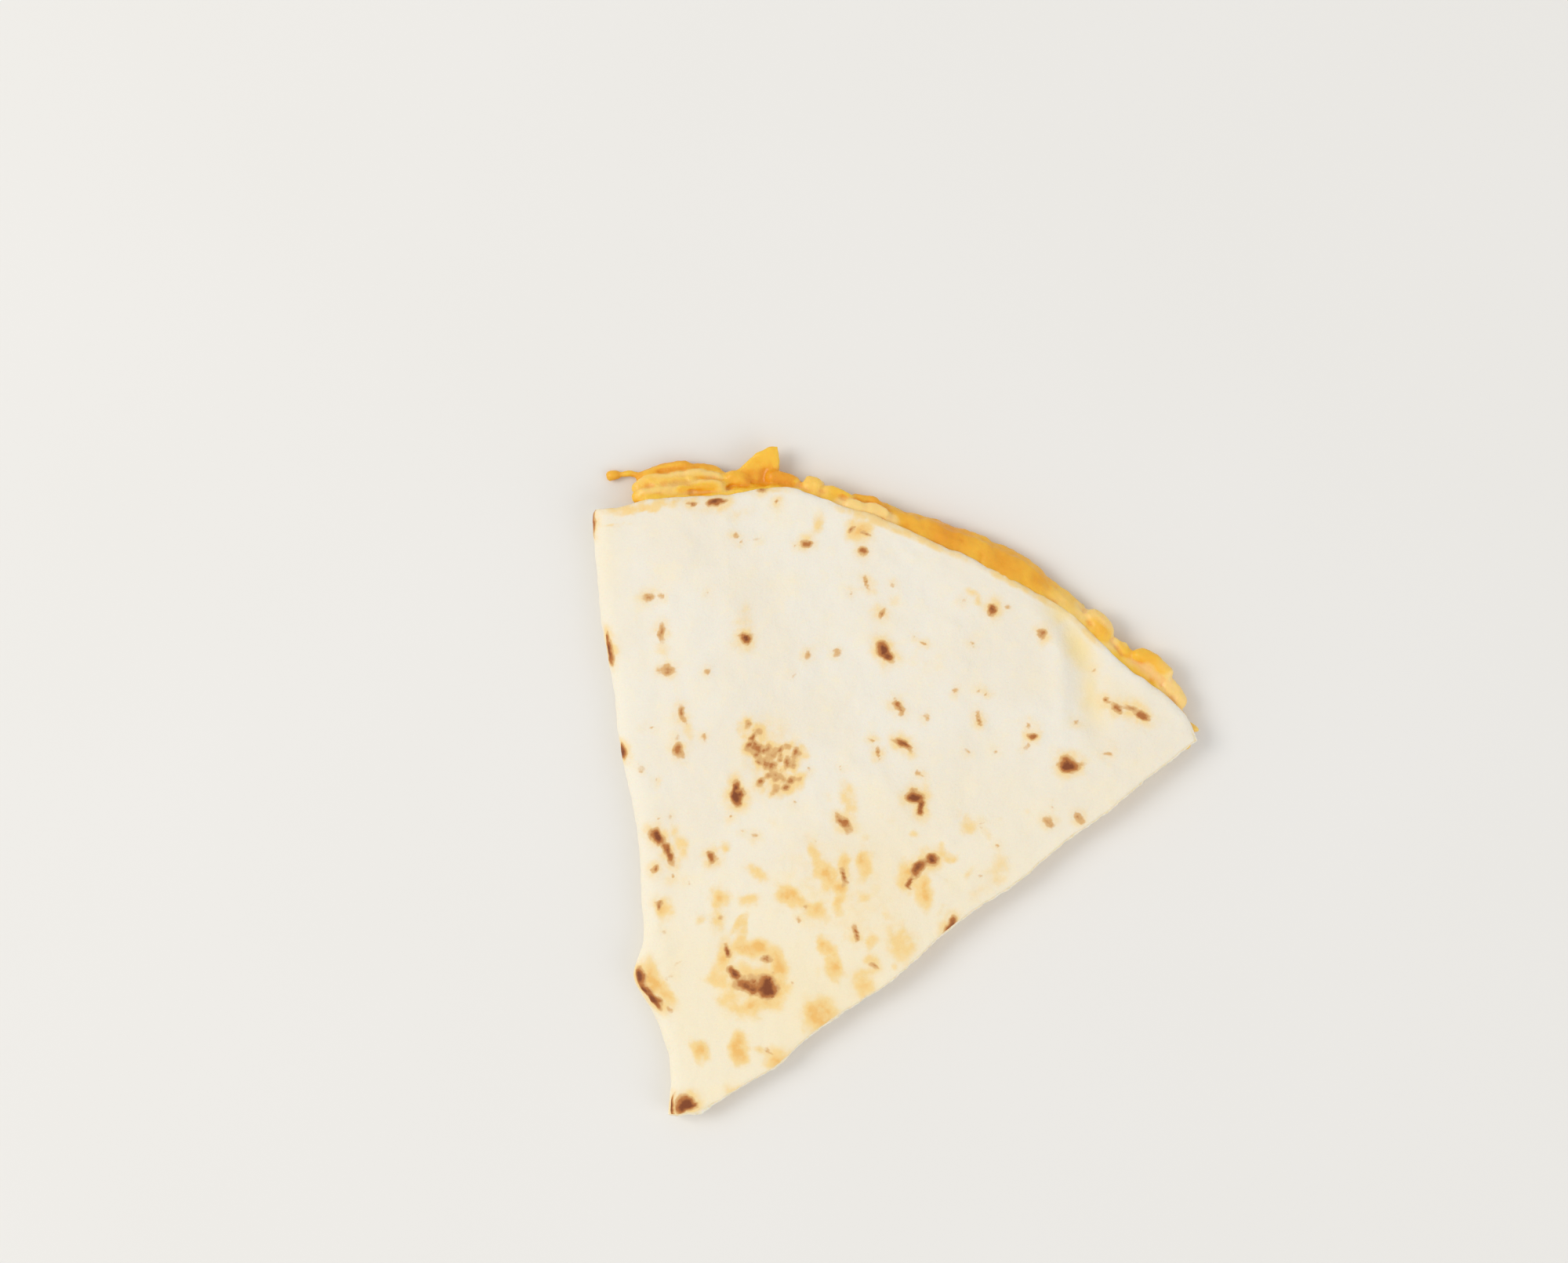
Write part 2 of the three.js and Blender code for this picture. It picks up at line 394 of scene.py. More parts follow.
def roughEdges(x, y, z, share, out, bearing):  # rounded and ragged, with pores where the knife went
    place = np.column_stack([x, y, z])
    ragged = sum(height * cloud(place, size, seed) for size, height, seed in tortilla["ragged"])
    rounding = 1 - np.sqrt(np.clip(1 - (2 * share - 1) ** 2, 0, 1))
    toCut = np.maximum(distanceToCut(x, y), 0)
    toRim = rimAt(bearing) - out
    toTip = y - wedge["tipTrim"]
    reach = tortilla["roundingReach"]
    size, height = tortilla["crumb"]
    inCrumb = (toCut < touching) & (np.abs(share - 0.5) < 0.4)
    pores = np.where(inCrumb, height * cloud(place, size, 9), 0)
    torn = tortilla["edgeRounding"] * rounding - ragged * tortilla["tear"]
    inward = np.exp(-toCut / reach) * torn + pores
    x = x - inward * math.cos(cutBearing)
    y = y + inward * math.sin(cutBearing)
    inward = np.exp(-toRim / reach) * (tortilla["rimRounding"] * rounding - ragged)
    x = x - inward * np.sin(bearing)
    y = y - inward * np.cos(bearing)
    y = y + np.exp(-toTip / reach) * (tortilla["edgeRounding"] * rounding - ragged * 0.6)
    height, reach = tortilla["edgeDrop"]
    drop = height * np.exp(-((np.minimum(toCut, toRim) / reach) ** 2)) * (1 - share)
    return x, y, drop


def shapeTortilla(skin):
    onFold, upper, turn, share, out, bearing = sheetPlaces(skin)
    depth = share * doughAt(out, bearing)
    radius = foldHeightAt(out) / 2
    x, y = planAt(out, bearing, radius)
    z = np.where(upper, topAt(out, bearing) - depth, undersideAt(out, bearing) + depth)
    foldRadius = (topAt(out, 0 * bearing) - undersideAt(out, 0 * bearing)) / 2
    x = np.where(onFold, radius - (foldRadius - depth) * np.cos(turn), x)
    y = np.where(onFold, out, y)
    z = np.where(onFold, undersideAt(out, 0 * bearing) + foldRadius + (foldRadius - depth) * np.sin(turn), z)

    roll = np.where(upper, x, -math.pi * radius - (x - 2 * radius))
    roll = np.where(onFold, radius - foldRadius * (math.pi / 2 - turn), roll)
    unrolled = np.column_stack([roll, y])
    relief = reliefAt(unrolled) * (1 - share)
    pressed = np.clip(relief, 0, tortilla["restingBubble"])
    steepness = np.where(onFold, np.abs(np.sin(turn)), 1)
    z = z + steepness * np.where(upper, relief, pressed)
    x = x - np.where(onFold, np.cos(turn) * relief, 0)

    size, height, seed = tortilla["lining"]
    lining = share * height * cloud(np.column_stack([x, y, 10 * upper]), size, seed)
    x, y, drop = roughEdges(x, y, z, share, out, bearing)
    z = z + np.where(onFold, 0, lining)
    z = z - np.where(onFold, np.sin(turn), np.where(upper, 1, -1)) * drop
    shiftX, shiftY = outlineShift(np.where(onFold, 0, x), y)
    x = x + shiftX
    y = y + shiftY
    writePoints(skin, np.column_stack([x, y, np.maximum(z, 0)]))
    return unrolled, share


def dressEdges(skin):  # the free rim has skin round it, and only the cuts show the crumb
    points = readPoints(skin)
    for face in skin.data.polygons:
        if face.material_index != 2:
            continue
        centre = points[list(face.vertices)].mean(0)
        bearing = math.atan2(max(centre[0], 0), centre[1])
        out = math.hypot(centre[0], centre[1])
        if out > rimAt(bearing) - 2.5 and bearing < cutBearing - 0.02:
            face.material_index = 0


# Toasted marks, as if painted on the unrolled skin: across, along, width, length, turn, strength.
# Beyond the fold, across runs on below zero, down round it and over the underside.
toast = {
    "dark": [
        (25.9, 92.9, 2.3, 2.1, 0, 1), (51.8, 87.9, 2.0, 3.4, -20, 1), (52.8, 86.3, 2.0, 2.4, -35, 0.95),
        (52.1, 94.8, 1.5, 1.7, 0, 0.75), (53.1, 76.5, 1.2, 3.0, -25, 0.7), (53.5, 69.3, 1.3, 3.8, -48, 0.95),
        (54.6, 59.2, 3.2, 2.6, 0, 1), (55.2, 57.2, 1.4, 3.2, 0, 0.9), (84.3, 62.0, 2.8, 3.7, -65, 1.05),
        (78.1, 68.2, 1.5, 1.5, 0, 0.8), (73.4, 93.1, 2.0, 2.0, 0, 0.85), (20.8, 63.2, 2.3, 3.0, 0, 1.05),
        (20.9, 65.2, 1.3, 2.8, 0, 0.9), (4.0, 57.4, 2.1, 3.6, -45, 1.0), (5.9, 54.0, 1.7, 5.0, -25, 0.85),
        (14.6, 52.2, 1.7, 2.2, 0, 0.8), (10.8, 73.2, 1.7, 2.8, 5, 0.66), (12.2, 80.2, 1.6, 3.4, -8, 0.6),
        (10.3, 96.3, 1.6, 3.8, 3, 0.58), (8.7, 103.1, 2.0, 2.0, 0, 0.58), (10.2, 88.8, 3.2, 1.9, 0, 0.58),
        (23.6, 119.7, 4.0, 1.4, -8, 1.0), (18.8, 120.2, 1.8, 1.4, 0, 0.75), (35.2, 118.2, 1.2, 1.2, 0, 0.6),
        (32.4, 121.2, 3.0, 1.2, 15, 0.62), (39.8, 109.8, 2.0, 1.7, 0, 0.7), (50.1, 106.9, 1.6, 1.6, 0, 0.72),
        (48.8, 111.4, 1.2, 1.8, 30, 0.62), (51.2, 110.2, 1.0, 2.4, -35, 0.62),
        (50.4, 100.6, 1.1, 3.0, -25, 0.62),
        (40.4, 55.8, 1.7, 4.0, -35, 0.76), (56.0, 46.9, 2.6, 2.2, 0, 1.0), (53.4, 45.6, 2.2, 3.4, 50, 0.88),
        (51.6, 43.0, 1.0, 2.6, 5, 0.75), (39.3, 46.0, 1.3, 3.2, -20, 0.7), (58.1, 33.9, 1.7, 4.2, 30, 0.92),
        (68.4, 72.6, 1.3, 3.0, -8, 0.62), (79.4, 51.6, 2.4, 1.5, 40, 0.58), (85.0, 51.6, 2.4, 1.4, 60, 0.56),
        (82.4, 87.1, 1.9, 2.2, 0, 0.66), (40.1, 34.5, 1.2, 3.0, 0, 0.7), (42.2, 28.6, 1.4, 1.4, 0, 0.6),
        (48.5, 68.3, 1.1, 2.4, 0, 0.62), (37.3, 88.7, 1.2, 1.8, 0, 0.58), (2.9, 51.2, 1.4, 1.6, 0, 0.66),
        (3.4, 44.4, 1.3, 1.8, -30, 0.64), (92.9, 73.0, 1.4, 1.2, 0, 0.66), (94.9, 71.4, 1.6, 2.6, -30, 0.72),
        (97.4, 71.0, 1.1, 2.2, -70, 0.62), (99.6, 69.4, 1.3, 3.6, -50, 0.78),
        (3.6, 5.7, 3.3, 3.4, 0, 1.1), (4.6, 5.4, 2.2, 1.6, 0, 1), (0.9, 5.8, 0.9, 3.6, 0, 1),
        (21.9, 26.4, 3.8, 3.8, 0, 1.1), (18.7, 27.1, 4.8, 3.0, 12, 0.86), (16.1, 29.5, 1.5, 2.8, -40, 0.95),
        (15.4, 34.2, 1.2, 2.6, -5, 0.95), (22.4, 31.6, 2.2, 1.5, 20, 0.66),
        (1.2, 31.4, 2.3, 3.2, -14, 1.05), (1.7, 28.6, 2.0, 3.2, -14, 1.05), (2.0, 26.2, 1.7, 2.8, -8, 1),
        (-0.4, 119.0, 1.3, 5.0, 3, 0.82), (0.4, 93.8, 1.8, 4.2, 3, 1), (0.4, 96.4, 1.0, 2.6, 3, 0.85),
        (-0.2, 74.3, 2.0, 2.4, 0, 1),
    ],
    "gold": [
        (25.9, 96.6, 6, 9, 15, 0.22), (28, 70, 11, 15, -10, 0.34), (54, 41.0, 3.0, 6.4, 0, 0.85),
        (51.2, 44.4, 4.2, 5.6, 10, 0.7), (31.1, 20.2, 5.8, 5.8, 0, 0.95), (15.1, 15.6, 3.0, 5.6, 10, 0.9),
        (21.8, 12.9, 4.4, 4.6, 30, 0.85), (7.2, 15.8, 3.8, 4.2, 0, 0.75), (13.2, 7.8, 4, 4, 0, 0.35),
        (34.0, 32.9, 3.2, 4.4, -20, 0.75), (35.1, 29.0, 3.0, 4.6, -10, 0.75), (39.9, 25.4, 4.4, 5.6, 10, 0.6),
        (42.4, 29.4, 3.6, 3.6, 0, 0.5), (48.3, 32.2, 6, 7, 20, 0.5), (33.9, 51.4, 2.6, 5.4, -20, 0.6),
        (35.6, 46.6, 3.4, 6.0, -20, 0.85), (38.0, 44.0, 3.4, 3.6, 0, 0.75), (37.6, 40.8, 2.8, 4.8, 10, 0.6),
        (39.6, 47.6, 2.6, 5.2, 15, 0.6), (43.3, 48.0, 2.6, 5.0, 0, 0.85), (41.6, 60.5, 3.4, 8, -15, 0.4),
        (17.2, 53.6, 2.4, 3.4, 60, 0.45), (23.0, 48.4, 2.8, 6.0, -52, 0.5), (28.5, 43.0, 3.8, 6.2, -50, 0.85),
        (33.0, 40.0, 3.2, 5.6, -65, 0.6), (14.8, 44.2, 3.6, 4.4, 10, 0.7), (14.0, 40.4, 3.4, 5, 0, 0.4),
        (20.9, 43.5, 4.6, 3.0, 0, 0.5), (4.0, 43.6, 3.6, 4.8, -20, 0.6), (8.3, 56.0, 3.0, 7.0, -20, 0.45),
        (64.1, 52.4, 4.4, 4.4, 0, 0.34), (68.0, 43.4, 4.6, 8, 30, 0.3), (64, 40, 5, 6, 30, 0.2),
        (38, 43, 30, 24, 30, 0.2),
        (3.4, 29.6, 2.8, 8.6, -10, 0.8), (10.2, 94.0, 3.6, 6, 0, 0.25), (98, 70.4, 5, 10, -55, 0.4),
        (50.2, 110.8, 5, 5.4, 0, 0.75), (70.4, 95.8, 1.6, 5, -45, 0.4), (42.4, 112.9, 2.4, 5.0, 20, 0.42),
        (12.6, 77.6, 3.4, 9, -8, 0.25),
        (60, 84, 9, 13, -35, 0.14), (86.5, 90.5, 3, 5.0, -25, 0.2),
        (28, 116.6, 7, 3, -10, 0.2), (9.5, 120.7, 15, 2.6, 0, 0.5),
        (9.0, 119.7, 8, 0.8, 0, 0.7), (16, 121.6, 8, 1.2, -4, 0.4), (4, 117.4, 7, 0.8, 4, 0.3),
        (21.8, 26.5, 7.5, 6.6, 0, 1.0), (17.6, 28.2, 6.5, 6.0, 0, 0.6),
    ],
    "halo": (3, 0.5),  # the gold round a dark mark: how much wider, how much weaker
    "wobble": [(2.2, 0.5, 51), (0.9, 0.2, 53)],  # size, shift, seed: how far the outlines stray
    "ring": {"centre": (18.8, 28.6), "radius": 5.7, "width": 2.3, "strength": 0.68, "fade": 0.3},
    "blister": {"margin": 1.2, "dome": 0.45, "dark": 0.16, "gold": 0.08},  # reach past the ring, heights
    "buttery": [  # pale yellow where butter soaked in
        (86.4, 91.0, 5, 7, -25, 0.9), (89.0, 83.5, 5, 13, -18, 0.95), (90.4, 74, 4.6, 12, -4, 0.8),
        (2.0, 112, 5, 16, 0, 0.2), (4.5, 30, 6, 22, 0, 0.15), (30, 22, 26, 22, 30, 0.25),
        (96, 74, 6, 14, -50, 0.3), (46, 46, 16, 26, 20, 0.2),
    ],
    "freckles": {"size": 3.1, "seed": 41, "least": 0.25, "strength": 0.42,  # small golden patches low down
                 "below": (46, 70), "besideFold": (6, 14)},
    "rimTint": {"reach": 0.8, "strength": 0.42, "from": 12, "to": 46, "fade": 4},  # bearings
    "cluster": {"spine": [(25.0, 75.8), (26.6, 70.4), (29.3, 63.6)], "branch": [(25.4, 70.6), (33.0, 68.2)],
                "dots": 54, "spread": 1.15, "size": (1.0, 1.8), "strength": (0.42, 0.72),
                "gold": (3.2, 3.2, 0, 0.6)},
    "specks": 70,  # faint ones scattered over the upper leaf
    "underside": {"spots": 52, "size": (1.4, 5.4), "clear": 8},
}


def markAt(unrolled, across, along, width, length, turn):
    lean = math.radians(turn)
    dx = unrolled[:, 0] - across
    dy = unrolled[:, 1] - along
    side = (dx * math.cos(lean) - dy * math.sin(lean)) / (width / 2)
    run = (dx * math.sin(lean) + dy * math.cos(lean)) / (length / 2)
    return np.hypot(side, run)


def toastTortilla(unrolled):
    dark = np.zeros(len(unrolled))
    gold = np.zeros(len(unrolled))
    butter = np.zeros(len(unrolled))
    flat = np.column_stack([unrolled, np.zeros(len(unrolled))])
    stray = np.zeros_like(unrolled)
    for size, shift, seed in toast["wobble"]:
        stray += shift * np.column_stack([cloud(flat, size, seed), cloud(flat, size, seed + 1)])
    wobbly = unrolled + stray
    rng = random.Random(5)

    def addDark(across, along, width, length, turn, strength):
        off = markAt(wobbly, across, along, width, length, turn)
        np.maximum(dark, strength * (1 - ease(off, 0.1, 1.85)), out=dark)
        wider, weaker = toast["halo"]
        halo = markAt(unrolled, across, along, width + wider, length + wider, turn)
        np.maximum(gold, weaker * strength * np.exp(-(halo**2)), out=gold)

    def addGold(across, along, width, length, turn, strength):
        off = markAt(wobbly, across, along, width, length, turn)
        np.maximum(gold, strength * np.exp(-(off**2) * 0.9), out=gold)

    for mark in toast["dark"]:
        addDark(*mark)
    for mark in toast["gold"]:
        addGold(*mark)
    ring = toast["ring"]
    off = np.hypot(wobbly[:, 0] - ring["centre"][0], wobbly[:, 1] - ring["centre"][1])
    around = np.exp(-(((off - ring["radius"]) / ring["width"]) ** 2))
    around *= 1 - ring["fade"] * ease(ring["centre"][0] - wobbly[:, 0], 0, 5)
    np.maximum(gold, ring["strength"] * around * (0.9 + 0.55 * cloud(flat, 2.6, 43)), out=gold)
    for across, along, width, length, turn, strength in toast["buttery"]:
        off = markAt(wobbly, across, along, width, length, turn)
        np.maximum(butter, strength * np.exp(-(off**2)), out=butter)
    freckles = toast["freckles"]
    spots = ease(cloud(flat, freckles["size"], freckles["seed"]), freckles["least"], 1)
    lower = 1 - ease(unrolled[:, 1], *freckles["below"])
    inFrom = ease(np.abs(unrolled[:, 0]), *freckles["besideFold"])
    patches = np.clip(0.6 + cloud(flat, 13, 44), 0, 1)
    np.maximum(gold, freckles["strength"] * spots * lower * inFrom * patches, out=gold)
    rim = toast["rimTint"]
    bearing = np.arctan2(np.abs(unrolled[:, 0]), unrolled[:, 1])
    degrees = np.degrees(bearing)
    toRim = np.maximum(rimAt(bearing) - np.hypot(unrolled[:, 0], unrolled[:, 1]), 0)
    there = ease(degrees, rim["from"], rim["from"] + rim["fade"])
    there = there * (1 - ease(degrees, rim["to"], rim["to"] + rim["fade"]))
    np.maximum(gold, rim["strength"] * there * patches * np.exp(-((toRim / rim["reach"]) ** 2)), out=gold)
    cluster = toast["cluster"]
    lines = [cluster["spine"][:2], cluster["spine"][1:], cluster["branch"]]
    for index in range(cluster["dots"]):
        start, end = lines[index % len(lines)]
        share = rng.random()
        across = between(start[0], end[0], share) + rng.gauss(0, cluster["spread"])
        along = between(start[1], end[1], share) + rng.gauss(0, cluster["spread"])
        size = rng.uniform(*cluster["size"])
        shape = (size, size * rng.uniform(1, 1.4), rng.uniform(0, 180))
        addDark(across, along, *shape, rng.uniform(*cluster["strength"]))
        addGold(across, along, *cluster["gold"])
    for _ in range(toast["specks"]):
        place = somewhere(rng, 0.95, 0.03)
        size = rng.uniform(0.7, 1.3)
        addDark(*place, size, size * rng.uniform(1, 1.6), rng.uniform(0, 180), rng.uniform(0.3, 0.5))
    under = toast["underside"]
    for _ in range(under["spots"]):
        across, along = somewhere(rng, 0.95, 0.06)
        place = (-under["clear"] - across, along)
        size = rng.uniform(*under["size"])
        shape = (size, size * rng.uniform(1, 1.7), rng.uniform(0, 180))
        wider = toast["halo"][0]
        addGold(*place, shape[0] + wider, shape[1] + wider, shape[2], rng.uniform(0.5, 0.95))
        if rng.random() < 0.7:
            addDark(*place, *shape, rng.uniform(0.6, 1.05))
    return dark, gold, butter


def blister(skin, unrolled, share, dark, gold):  # toasted dough stands a little proud
    points = readPoints(skin)
    ring = toast["ring"]
    rise = toast["blister"]
    off = np.hypot(unrolled[:, 0] - ring["centre"][0], unrolled[:, 1] - ring["centre"][1])
    dome = rise["dome"] * np.clip(1 - (off / (ring["radius"] + rise["margin"])) ** 2, 0, 1) ** 1.2
    swell = (rise["dark"] * ease(dark, 0.25, 0.8) + rise["gold"] * gold + dome) * (1 - share)
    foldSide = 2  # up to here it swells sideways, and beyond it upwards
    points[:, 2] += np.where(unrolled[:, 0] > foldSide, swell, 0)
    points[:, 0] -= np.where(np.abs(unrolled[:, 0]) <= foldSide, swell, 0)
    writePoints(skin, points)


def makeTortilla():
    skin = sheetTortilla()
    thickenTortilla(skin)
    unrolled, share = shapeTortilla(skin)
    dark, gold, butter = toastTortilla(unrolled)
    blister(skin, unrolled, share, dark, gold)
    addField(skin, "charred", dark)
    addField(skin, "golden", gold)
    addField(skin, "buttery", butter)
    addField(skin, "depth", share)
    dressEdges(skin)
    addModifier(skin, "TRIANGULATE", min_vertices=5)
    activate(skin)
    bpy.ops.object.shade_smooth_by_angle(angle=math.radians(50))
    return skin


# The cheese: a slab that runs between the leaves from the tip to the rim, with half melted shreds on its rim.
cheese = {
    "rows": 90,
    "columns": 60,
    "startHeight": 3,  # of the plain slab
    "grip": 0.5,  # it reaches this far into the dough, so that no gap shows
    "foldStart": 1.5,
    "bead": (0.6, 0.8),  # it starts to round off this far in from the dough's rim and from its own
    "sag": 0.7,
    "overhang": 3.4,
    "recess": 1.2,  # beside the fold it stays in from the rim
    "cutRecess": (0.9, 2.6),  # how far, and over what width
    "tipRecess": 1.1,
    "cutBulge": (0.6, 1.2, 3.8),  # middle, variation and its size
    "tipBulge": 0.45,
    "rimShape": [  # bearing, width, size
        (8, 7, -4.4), (23, 4, -0.6), (38, 6, 1.8), (46.5, 1.4, 0.6), (49.5, 1.2, -1.0), (52.6, 1.6, 0.8),
    ],
    "ends": (2.5, 5, 57, 60),  # bearings between which it comes out past the rim
    "voxel": 0.32,
    "smoothing": 3,
    "shadeBlur": 3,
    "hollowShadeGain": (5, 13),  # how strongly hollows are painted in as shade, at the cut and elsewhere
    "melt": [(7, 0.3, 21), (2.6, 0.2, 22), (1.3, 0.12, 23)],  # size, height, seed
    "shreds": [  # start, end (across, along), height, width, thickness, bow, tilt, shade (1 pale, -1 deep)
        ((3.1, 126.9), (5.7, 127.3), 0.95, 2.0, 1.6, 0.1, 0, -0.5),
        ((4.8, 127.2), (10.0, 126.4), 1.2, 1.1, 1.0, 0.4, 0.5, -0.2),
        ((8.7, 125.9), (20.4, 126.9), 2.1, 2.5, 2.5, 0.9, 0.4, -0.75),
        ((18.8, 127.0), (26.4, 123.9), 2.4, 2.4, 2.3, 0.4, 0.3, -0.6),
        ((8.4, 124.6), (25.4, 124.0), 2.2, 4.2, 1.8, 0.6, 0.2, 0.1),
        ((7.7, 124.0), (14.6, 124.7), 3.3, 2.3, 2.2, 0.2, 0.2, 0.2),
        ((13.4, 125.2), (25.4, 124.2), 3.9, 2.0, 1.7, 0.9, 0.1, 0.7),
        ((7.4, 122.2), (13.4, 122.6), 4.2, 2.5, 2.0, 0.3, 0.2, -0.1),
        ((12.0, 123.6), (19.4, 122.9), 4.8, 2.4, 1.9, -0.3, 0.2, 0.45),
        ((17.8, 123.4), (25.6, 121.9), 4.9, 2.5, 1.9, 0.5, 0.2, 0.4),
        ((10.6, 125.6), (16.2, 125.7), 3.5, 1.5, 1.5, -0.2, 0.2, 0.5),
        ((20.4, 124.9), (26.4, 122.6), 4.4, 1.5, 1.4, -0.2, 0.2, -0.3),
        ((9.0, 125.2), (15.5, 125.9), 3.6, 1.3, 1.2, 0.3, 0.2, 0.6),
        ((12.4, 124.8), (20.6, 124.5), 4.3, 1.6, 1.5, 0.25, 0.1, 0.2),
        ((15.2, 125.7), (23.0, 125.0), 4.1, 1.3, 1.2, 0.4, 0.1, 0.8),
        ((9.0, 123.4), (16.5, 123.7), 5.0, 1.2, 1.2, -0.2, 0.1, 0.7),
        ((16.8, 122.9), (23.5, 122.6), 5.6, 1.1, 1.1, 0.2, 0.1, -0.5),
        ((19.5, 123.9), (25.2, 122.9), 5.3, 1.2, 1.2, 0.25, 0.1, 0.6),
        ((10.5, 127.0), (17.5, 127.6), 2.9, 1.2, 1.1, 0.3, 0.1, -0.3),
        ((25.4, 124.3), (30.6, 122.6), 3.7, 3.0, 2.4, 0.2, 0, -0.35),
        ((29.0, 123.6), (36.0, 121.8), 3.0, 4.4, 2.4, 0.4, 0, -0.6),
        ((33.4, 123.2), (40.0, 120.9), 4.2, 3.0, 2.2, 0.4, 0, -0.85),
        ((34.0, 121.4), (39.0, 119.9), 4.9, 1.3, 1.2, 0.2, 0, -0.3),
        ((40.2, 121.3), (43.6, 119.6), 4.9, 3.6, 2.6, 0.2, 0, 0.3),
        ((42.8, 119.7), (50.4, 116.6), 4.6, 2.3, 2.0, 0.4, 0, 0.0),
        ((44.0, 117.7), (49.4, 115.7), 5.1, 1.6, 1.4, 0.2, 0, 0.1),
        ((47.4, 116.2), (51.9, 114.7), 6.2, 2.9, 2.0, 0.3, 0.1, 0.9),
        ((50.9, 115.1), (56.1, 112.8), 6.1, 3.0, 2.1, 0.4, 0, 0.9),
        ((49.0, 118.0), (55.4, 115.0), 3.9, 1.6, 1.6, 0.3, 0, -0.7),
        ((54.6, 113.9), (61.5, 110.6), 4.3, 3.0, 2.3, 0.4, 0, -0.45),
        ((91.0, 90.4), (95.2, 84.4), 4.1, 4.4, 3.2, 0.4, 0, 0.75),
        ((92.2, 88.0), (94.6, 85.2), 5.0, 2.8, 2.0, 0, 0, -0.1),
        ((95.4, 84.8), (98.6, 80.6), 3.8, 2.0, 2.0, 0.3, 0, 0.1),
        ((99.0, 80.4), (104.6, 74.6), 3.4, 5.0, 3.0, 0.6, 0, 0.8),
        ((99.0, 81.6), (105.0, 77.4), 4.2, 3.4, 3.0, 0.4, 0.3, -0.15),
        ((102.2, 79.4), (106.2, 75.4), 4.6, 3.2, 2.4, 0.5, 0.2, 0.9),
        ((104.4, 76.6), (107.6, 69.6), 3.8, 3.0, 2.6, 0.3, 0, 0.85),
    ],
    "flakes": [  # outline (across, along), height, thickness, how much it rises outwards
        ([(27.0, 124.6), (29.2, 125.8), (30.9, 127.2), (33.1, 128.3), (35.2, 129.0), (36.5, 128.9),
          (36.4, 126.0), (35.7, 122.4), (31.4, 122.2)], 3.7, 1.4, 0.16),
    ],
    "looseShreds": 44,  # small ones round the rim, mostly melted in
    "smoothParts": [(1, 17), (27, 45)],  # bearings that get none
    "deep": [  # deeper orange spots: across, along, size, amount. The first is painted shadow under the flake, the two at the lumps of the right end are painted shade on their left sides, and the others deepen the band at the right
        (30.3, 123.3, 1.5, 1), (60, 110, 5, 0.5), (67, 108.5, 6, 0.9), (76, 101, 6, 0.75), (83, 97.5, 3, 0.7),
        (93.4, 86.6, 1.8, 0.35), (101.5, 79.0, 2.2, 0.4),
    ],
    "pale": [(107.6, 70.5, 3, 0.5), (105.6, 78.6, 1.6, 0.5), (89.5, 90.2, 3, 0.6), (86.8, 92.6, 3, 0.5)],
}


def cheeseReach(bearing):
    degrees = np.degrees(bearing)
    out, full, leave, back = cheese["ends"]
    ends = ease(degrees, out, full) * (1 - ease(degrees, leave, back))
    reach = wedge["radius"] + cheese["overhang"] + bumps(cheese["rimShape"], degrees)
    least = rimAt(bearing) - cheese["recess"]
    return between(least, np.maximum(reach, least), ends)


def extrudeAll(height):
    bpy.ops.mesh.select_all(action="SELECT")
    bpy.ops.mesh.extrude_region_move(TRANSFORM_OT_translate={"value": (0, 0, height * mm)})
    bpy.ops.mesh.select_all(action="SELECT")
    bpy.ops.mesh.normals_make_consistent(inside=False)
    finishEditing()


def startSlab():
    edge = cheese["foldStart"]
    slab = addRadialLine("meltedCheese", edge, cheese["rows"] - 1)
    pivot = corner + Vector((edge, 0, 0)) * mm
    bpy.ops.mesh.select_all(action="SELECT")
    bpy.ops.mesh.spin(steps=cheese["columns"], angle=cutBearing, center=pivot, axis=(0, 0, 1))
    extrudeAll(cheese["startHeight"])
    return slab


def shapeSlab(slab):
    points = readPoints(slab)
    edge = cheese["foldStart"]
    beside = np.maximum(points[:, 0] - edge, 0)
    bearing = np.arctan2(beside, points[:, 1])
    onTop = points[:, 2] > cheese["startHeight"] / 2
    reach = cheeseReach(bearing)
    fromDough, fromReach = cheese["bead"]
    beadStart = np.minimum(rimAt(bearing) - fromDough, reach - fromReach)
    out = between(tipAt(bearing) + cheese["tipRecess"], reach, shareOut(np.hypot(beside, points[:, 1])))
    inside = np.minimum(out, beadStart)
    x, y = planAt(out, bearing, edge)
    plan = np.column_stack([x, y])
    dents = sum(segmentPull(plan, *crease) for crease in tortilla["creases"] if crease[3] < 0)
    low = undersideAt(inside, bearing) + doughAt(inside, bearing) - cheese["grip"]
    high = topAt(inside, bearing) - doughAt(inside, bearing) + cheese["grip"] + dents
    radius = foldHeightAt(out) / 2
    room = np.sqrt(np.clip((radius - wedge["dough"]) ** 2 - (radius - x) ** 2, 0, None)) + cheese["grip"]
    middle = (low + high) / 2
    half = np.where(x < radius, np.minimum((high - low) / 2, room), (high - low) / 2)
    past = np.clip((out - beadStart) / (reach - beadStart), 0, 1)
    sag = cheese["sag"] * past**2
    half = half * np.sqrt(np.clip(1 - past**2.4, 0.0, 1))
    z = middle - sag + np.where(onTop, half, -half)
    depth, width = cheese["cutRecess"]
    recess = depth * (1 - ease(out * np.sin(cutBearing - bearing), 0, width))
    x = x - recess * math.cos(cutBearing)
    y = y + recess * math.sin(cutBearing)
    shiftX, shiftY = outlineShift(x, y)
    writePoints(slab, np.column_stack([x + shiftX, y + shiftY, z]))


